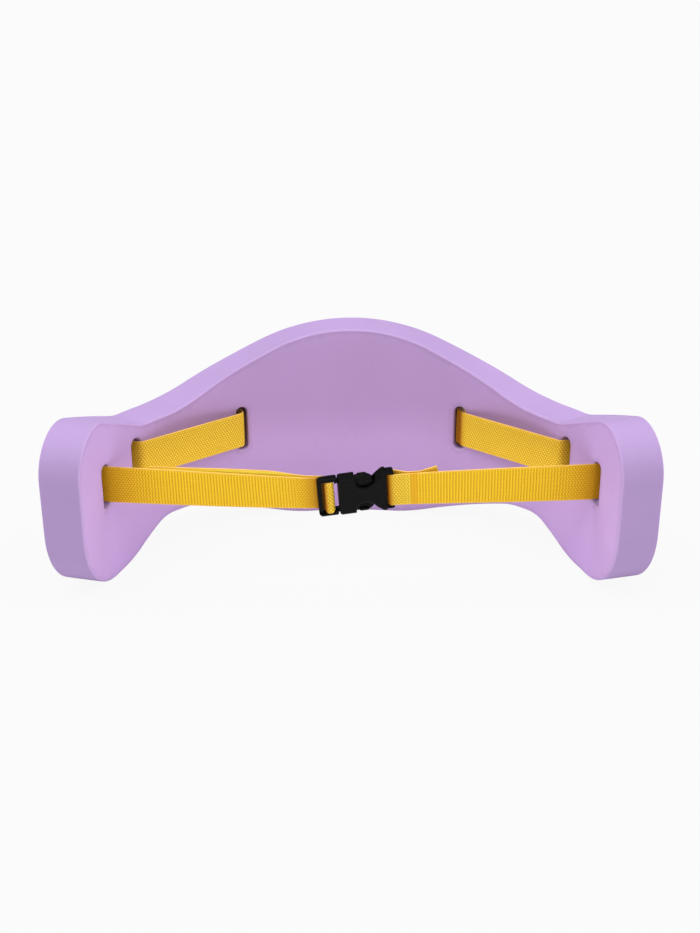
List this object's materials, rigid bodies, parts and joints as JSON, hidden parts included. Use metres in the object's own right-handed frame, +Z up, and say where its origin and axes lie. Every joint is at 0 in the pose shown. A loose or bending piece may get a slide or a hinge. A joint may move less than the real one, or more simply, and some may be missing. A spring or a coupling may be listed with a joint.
{
  "type": "swim belt",
  "caption": "Curved foam swim belt for a child, with lobed ends, laced by a webbing strap that closes in front with a side release buckle.",
  "frame": {"origin": "middle of the belt's box in plan, on the surface it stands on", "axes": "+X across the waist, from the plug's side to the socket's side; +Y from the buckle in front to the middle of the foam at the back; +Z up"},
  "size_m": [0.3792, 0.1664, 0.1361],
  "materials": {
    "foam": "matte",
    "webbing": "matte",
    "buckle_plastic": "satin"
  },
  "bodies": {
    "belt": {"foam_belt": "foam", "strap_webbing": "webbing", "strap_left_front": "webbing", "buckle_socket": "buckle_plastic"},
    "plug": {"buckle_plug": "buckle_plastic", "strap_plug_end": "webbing"},
    "arm_upper": {"latch_arm_upper": "buckle_plastic"},
    "arm_lower": {"latch_arm_lower": "buckle_plastic"}
  },
  "joints": [
    {"name": "plug_slide", "type": "slide", "parent": "belt", "child": "plug", "axis": [-0.9897, -0.1145, -0.0854], "range_m": [0, 0.022], "deforming": ["strap_left_front", "latch_arm_upper", "latch_arm_lower"]},
    {"name": "arm_upper_squeeze", "type": "hinge", "parent": "plug", "child": "arm_upper", "pos_m": [-0.00552, -0.05948, 0.07353], "axis": [-0.1325, 0.9593, 0.2495], "range_deg": [0, 14], "stiffness_Nm_per_rad": 0.1},
    {"name": "arm_lower_squeeze", "type": "hinge", "parent": "plug", "child": "arm_lower", "pos_m": [-0.00472, -0.0556, 0.05906], "axis": [0.1325, -0.9593, -0.2495], "range_deg": [0, 14], "stiffness_Nm_per_rad": 0.1}
  ],
  "couplings": [
    {"joint": "arm_lower_squeeze", "follows": "arm_upper_squeeze", "ratio": 1}
  ]
}
